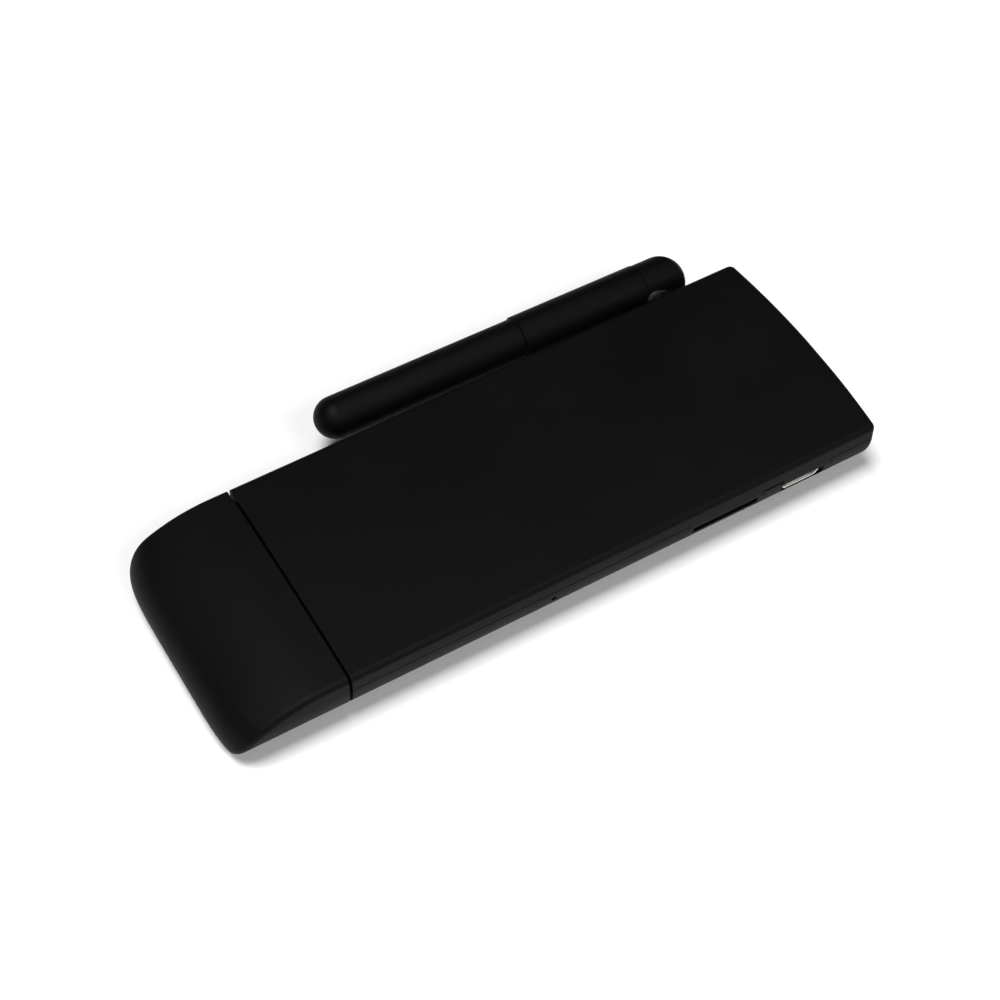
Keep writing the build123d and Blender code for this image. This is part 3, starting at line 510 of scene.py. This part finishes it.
@dataclass(frozen=True)
class SinteredCeramic(Finish):
    """Ceramic or ferrite: a fine powdery grain with darker flecks.

    Attributes:
        name: The material's name.
        tone: Linear colour.
        fleck: Linear colour of the flecks.
        roughness: Middle of the gloss's roughness.
        roughness_spread: How far the roughness strays from its middle.
        grain: Grains along one metre.
        grain_depth: Height of the grain in metres.
        fleck_edge: The grain's values where a fleck starts and where it is full.
    """

    name: str
    tone: Triple
    fleck: Triple
    roughness: float = 0.5
    roughness_spread: float = 0.1
    grain: float = 9000.0
    grain_depth: float = 4e-6
    fleck_edge: tuple[float, float] = (0.55, 0.7)

    def paint(self, graph: Graph) -> None:
        """Builds the ceramic's nodes.

        Args:
            graph: The nodes of the ceramic's material.
        """
        grain = graph.noise(graph.place(), self.grain, 3.0, 0.7)
        flecks = graph.spread(grain, 0.0, 1.0, *self.fleck_edge)
        low, high = self.roughness - self.roughness_spread, self.roughness + self.roughness_spread
        graph.surface(
            Base_Color=graph.blend(flecks, self.tone, self.fleck),
            Roughness=graph.spread(grain, low, high),
            Normal=graph.bump(grain, self.grain_depth),
        )


SHELL = MouldedPlastic(
    "shell_plastic", (0.0016, 0.0016, 0.0017), roughness=0.56, specular=0.075, dust=0.012
)
ANTENNA = MouldedPlastic("antenna_plastic", (0.0010, 0.0010, 0.0011), roughness=0.55, specular=0.07)
INSULATOR = MouldedPlastic("insulator_plastic", (0.006, 0.006, 0.006), roughness=0.42, grain=9000.0)
SWITCH = MouldedPlastic("switch_plastic", (0.012, 0.012, 0.012), roughness=0.45, grain=9000.0)
STEEL = PlatedMetal("plated_steel", (0.66, 0.65, 0.63), roughness=0.24)
CHROME = PlatedMetal(
    "chrome", (0.62, 0.62, 0.63), roughness=0.1, lines=(7000.0, 500.0, 7000.0), stain=0.06
)
SPRING = PlatedMetal("spring_steel", (0.2, 0.2, 0.205), roughness=0.32)
GOLD = PlatedMetal("contact_gold", (0.78, 0.53, 0.16), roughness=0.2, stain=0.1)
BRASS = PlatedMetal("brass", (0.62, 0.42, 0.15), roughness=0.3, stain=0.25)
SPREADER = PlatedMetal("spreader_aluminium", (0.6, 0.61, 0.62), roughness=0.38)
CAN = PlatedMetal("crystal_can", (0.64, 0.62, 0.58), roughness=0.28)
BOARD = SolderMask("board_laminate", (0.004, 0.032, 0.012), (0.012, 0.075, 0.028))
RESIN = MouldedResin("chip_resin", (0.008, 0.008, 0.009))
FERRITE = SinteredCeramic("ferrite", (0.03, 0.03, 0.031), (0.07, 0.07, 0.07))
CERAMIC = SinteredCeramic("capacitor_ceramic", (0.26, 0.17, 0.09), (0.36, 0.26, 0.16))
PAD = SoftRubber("pad_rubber", (0.14, 0.18, 0.25))
JACKET = SoftRubber("lead_jacket", (0.008, 0.008, 0.008), roughness=0.5)


@dataclass
class Assembly(ABC):
    """A sub-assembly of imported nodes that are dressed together."""

    @abstractmethod
    def finishes(self) -> dict[str, Finish]:
        """Gives the finish of each of the sub-assembly's nodes.

        Returns:
            A finish for each node's name.
        """

    def dress(self) -> None:
        """Gives every node of the sub-assembly its finish."""
        for node, finish in self.finishes().items():
            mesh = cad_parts[node].data
            mesh.materials.clear()
            mesh.materials.append(finish.material())
            LOG.info("%s: %s wears %s", type(self).__name__, node, finish.name)


@dataclass
class Housing(Assembly):
    """The two shells and the screws that hold them.

    Attributes:
        shell: The shells' finish.
        screws: The screws' finish.
    """

    shell: Finish = SHELL
    screws: Finish = SPRING

    def finishes(self) -> dict[str, Finish]:
        """Gives the finish of each node."""
        return {"top_shell": self.shell, "bottom_shell": self.shell, "board_screws": self.screws}


@dataclass
class Cap(Assembly):
    """The cap that covers the plug.

    Attributes:
        shell: The cap's finish.
    """

    shell: Finish = SHELL

    def finishes(self) -> dict[str, Finish]:
        """Gives the finish of the cap."""
        return {"plug_cap": self.shell}


@dataclass
class Antenna(Assembly):
    """The swinging antenna: its plastic outside and the radiator in it.

    Attributes:
        sleeve: The finish of the plastic pieces.
        radiator: The finish of the metal in them.
    """

    sleeve: Finish = ANTENNA
    radiator: Finish = BRASS

    def finishes(self) -> dict[str, Finish]:
        """Gives the finish of each node.

        Returns:
            A finish for each node's name.
        """
        plastic = dict.fromkeys(("antenna_sleeve", "antenna_knuckle"), self.sleeve)
        metal = dict.fromkeys(("radiator_sleeve", "radiator_wire", "feed_wire"), self.radiator)
        return plastic | metal


@dataclass
class Hinge(Assembly):
    """The antenna's hinge: a threaded bush, its nut, the shaft, a clip and a washer.

    Attributes:
        plated: The finish of the turned pieces.
        clip: The clip's finish.
        washer: The washer's finish.
    """

    plated: Finish = CHROME
    clip: Finish = SPRING
    washer: Finish = SWITCH

    def finishes(self) -> dict[str, Finish]:
        """Gives the finish of each node."""
        turned = dict.fromkeys(("antenna_bush", "bush_nut", "pivot_shaft"), self.plated)
        return turned | {"pivot_clip": self.clip, "friction_washer": self.washer}


@dataclass
class Lead(Assembly):
    """The lead from the board to the antenna, with its two connectors.

    Attributes:
        jacket: The lead's finish.
        connector: The connectors' finish.
    """

    jacket: Finish = JACKET
    connector: Finish = GOLD

    def finishes(self) -> dict[str, Finish]:
        """Gives the finish of each node."""
        connectors = dict.fromkeys(("lead_connector", "board_connector"), self.connector)
        return connectors | {"antenna_lead": self.jacket}


@dataclass
class Connector(Assembly):
    """A plug or a socket: a metal shell, a moulded block and its contacts.

    Attributes:
        shell_node: The metal shell's node.
        block_node: The moulded block's node.
        contact_node: The contacts' node.
        shell: The metal shell's finish.
        block: The block's finish.
        contact: The contacts' finish.
    """

    shell_node: str
    block_node: str
    contact_node: str
    shell: Finish = STEEL
    block: Finish = INSULATOR
    contact: Finish = GOLD

    def finishes(self) -> dict[str, Finish]:
        """Gives the finish of each node.

        Returns:
            A finish for each node's name.
        """
        return {
            self.shell_node: self.shell,
            self.block_node: self.block,
            self.contact_node: self.contact,
        }


@dataclass
class ResetSwitch(Assembly):
    """The small switch behind the pinhole.

    Attributes:
        body: The finish of its body and its plunger.
    """

    body: Finish = SWITCH

    def finishes(self) -> dict[str, Finish]:
        """Gives the finish of each node."""
        return dict.fromkeys(("reset_switch_body", "reset_plunger"), self.body)


@dataclass
class Board(Assembly):
    """The main board with what is soldered to it.

    Attributes:
        laminate: The finish of the boards.
        chip: The finish of the chips and resistors.
        can: The crystals' finish.
        shield: The radio shield's finish.
        coil: The inductors' finish.
        capacitor: The capacitors' finish.
    """

    laminate: Finish = BOARD
    chip: Finish = RESIN
    can: Finish = CAN
    shield: Finish = STEEL
    coil: Finish = FERRITE
    capacitor: Finish = CERAMIC

    def finishes(self) -> dict[str, Finish]:
        """Gives the finish of each node.

        Returns:
            A finish for each node's name.
        """
        boards = dict.fromkeys(("main_board", "radio_module"), self.laminate)
        chips = dict.fromkeys(
            ("processor_chip", "memory_chips", "flash_chip", "power_chip", "resistors"), self.chip
        )
        others = {
            "crystals": self.can,
            "radio_shield": self.shield,
            "inductors": self.coil,
            "capacitors": self.capacitor,
        }
        return boards | chips | others


@dataclass
class Cooling(Assembly):
    """The pad and the plate that carry heat away from the chips.

    Attributes:
        pad: The soft pad's finish.
        plate: The plate's finish.
    """

    pad: Finish = PAD
    plate: Finish = SPREADER

    def finishes(self) -> dict[str, Finish]:
        """Gives the finish of each node."""
        return {"heat_pad": self.pad, "heat_spreader": self.plate}


@dataclass(frozen=True)
class SoftLight:
    """A soft rectangular light.

    Attributes:
        name: The light's name.
        place: Where it hangs.
        width: Its width in metres.
        height: Its height in metres.
        power: Its power in watts.
        aim: The point that it faces.
    """

    name: str
    place: Triple
    width: float
    height: float
    power: float
    aim: Triple = (0.0, 0.0, 0.0)

    def hang(self) -> None:
        """Adds the light to the scene."""
        data = bpy.data.lights.new(self.name, "AREA")
        data.shape = "RECTANGLE"
        data.size = self.width
        data.size_y = self.height
        data.energy = self.power
        light = bpy.data.objects.new(self.name, data)
        light.location = self.place
        light.rotation_mode = "QUATERNION"
        light.rotation_quaternion = (Vector(self.aim) - Vector(self.place)).to_track_quat("-Z", "Y")
        bpy.context.scene.collection.objects.link(light)
        LOG.info("studio: light %s of %.1f W", self.name, self.power)


OVERHEAD = SoftLight("overhead", (-0.25, -0.03, 1.3), 0.5, 0.5, 18.0)
FRONT_WALL = SoftLight("front_wall", (-0.6, -1.5, 1.3), 3.0, 1.5, 12.0)
EDGE_PANEL = SoftLight("edge_panel", (0.3, -0.95, 1.05), 0.6, 0.4, 6.5)


@dataclass
class Studio:
    """The floor, the lights and the camera at the photograph's angle.

    Attributes:
        azimuth: Degrees round the object, with 0 looking along +Y.
        elevation: Degrees above the floor.
        distance: Metres from the target.
        target: The point on the floor that the camera looks at.
        lens: Focal length in millimetres.
        film_width: Width of the picture behind the lens, in millimetres.
        floor_size: Width of the floor in metres.
        floor_drop: How far the floor lies under the housing's base, in metres, so that they don't coincide.
        floor_cells: Cells along each side of the floor.
        floor_tone: Linear colour of the floor.
        floor_grain: Grains of the paper along one metre.
        room_light: Strength of the room's own light.
        lights: The soft lights.
    """

    azimuth: float = -30.211
    elevation: float = 53.499
    distance: float = 0.370857
    target: Triple = (-0.007662, 0.004399, 0.0)
    lens: float = 85.0
    film_width: float = 36.0
    floor_size: float = 3.0
    floor_drop: float = 2e-5
    floor_cells: int = 8
    floor_tone: Triple = (0.86, 0.86, 0.86)
    floor_grain: float = 700.0
    room_light: float = 0.04
    lights: tuple[SoftLight, ...] = (OVERHEAD, FRONT_WALL, EDGE_PANEL)

    def build(self) -> None:
        """Builds the whole studio."""
        self.build_camera()
        self.build_floor()
        self.build_lights()

    def build_camera(self) -> None:
        """Sets the camera where the photograph was taken from."""
        azimuth, elevation = math.radians(self.azimuth), math.radians(self.elevation)
        back = Vector(
            (
                math.sin(azimuth) * math.cos(elevation),
                -math.cos(azimuth) * math.cos(elevation),
                math.sin(elevation),
            )
        )
        data = bpy.data.cameras.new("camera")
        data.lens = self.lens
        data.sensor_width = self.film_width
        camera = bpy.data.objects.new("camera", data)
        camera.location = Vector(self.target) + back * self.distance
        camera.rotation_mode = "QUATERNION"
        camera.rotation_quaternion = (-back).to_track_quat("-Z", "Y")
        bpy.context.scene.collection.objects.link(camera)
        bpy.context.scene.camera = camera
        LOG.info("studio: camera at %s", tuple(round(value, 4) for value in camera.location))

    def build_floor(self) -> None:
        """Lays a pale floor: a flat grid of points a hair under the housing's base."""
        half = self.floor_size / 2
        steps = np.linspace(-half, half, self.floor_cells + 1)
        across, along = np.meshgrid(steps, steps)
        points = np.stack([across.ravel(), along.ravel(), np.full(across.size, -self.floor_drop)], axis=1)
        index = np.arange(across.size).reshape(across.shape)
        corners = [index[:-1, :-1], index[:-1, 1:], index[1:, 1:], index[1:, :-1]]
        faces = np.stack(corners, axis=-1).reshape(-1, 4)
        mesh = bpy.data.meshes.new("floor")
        mesh.from_pydata(points.tolist(), [], faces.tolist())
        mesh.materials.append(self.paper())
        floor = bpy.data.objects.new("floor", mesh)
        bpy.context.scene.collection.objects.link(floor)

    def paper(self) -> bpy.types.Material:
        """Makes the floor's matt paper, with a faint grain.

        Returns:
            The material.
        """
        material = bpy.data.materials.new("floor_paper")
        graph = Graph(material)
        grain = graph.spread(graph.noise(graph.place(), self.floor_grain, 2.0), 0.0, 1.0)
        graph.surface(
            Base_Color=graph.blend(grain, self.floor_tone, scaled(self.floor_tone, 0.985)),
            Roughness=0.8,
            Specular_IOR_Level=0.2,
        )
        return material

    def build_lights(self) -> None:
        """Hangs the soft lights and sets the room's own light."""
        bpy.context.scene.view_settings.view_transform = "Standard"
        world = bpy.data.worlds.new("room")
        bpy.context.scene.world = world
        world.use_nodes = True
        background = world.node_tree.nodes["Background"]
        background.inputs["Color"].default_value = (1, 1, 1, 1)
        background.inputs["Strength"].default_value = self.room_light
        for light in self.lights:
            light.hang()


def main() -> None:
    """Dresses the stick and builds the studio."""
    logging.basicConfig(level=logging.INFO, format="%(name)s: %(message)s")
    Studio().build()
    assemblies = (
        Housing(),
        Cap(),
        Antenna(),
        Hinge(),
        Lead(),
        Connector("av_plug_shell", "av_plug_insulator", "av_plug_contacts"),
        Connector("card_socket_cover", "card_socket_body", "card_contacts"),
        Connector("power_socket_shell", "power_socket_tongue", "power_contacts"),
        Connector("host_socket_shell", "host_socket_tongue", "host_contacts"),
        ResetSwitch(),
        Board(),
        Cooling(),
    )
    for assembly in assemblies:
        assembly.dress()


if __name__ == "__main__":
    main()
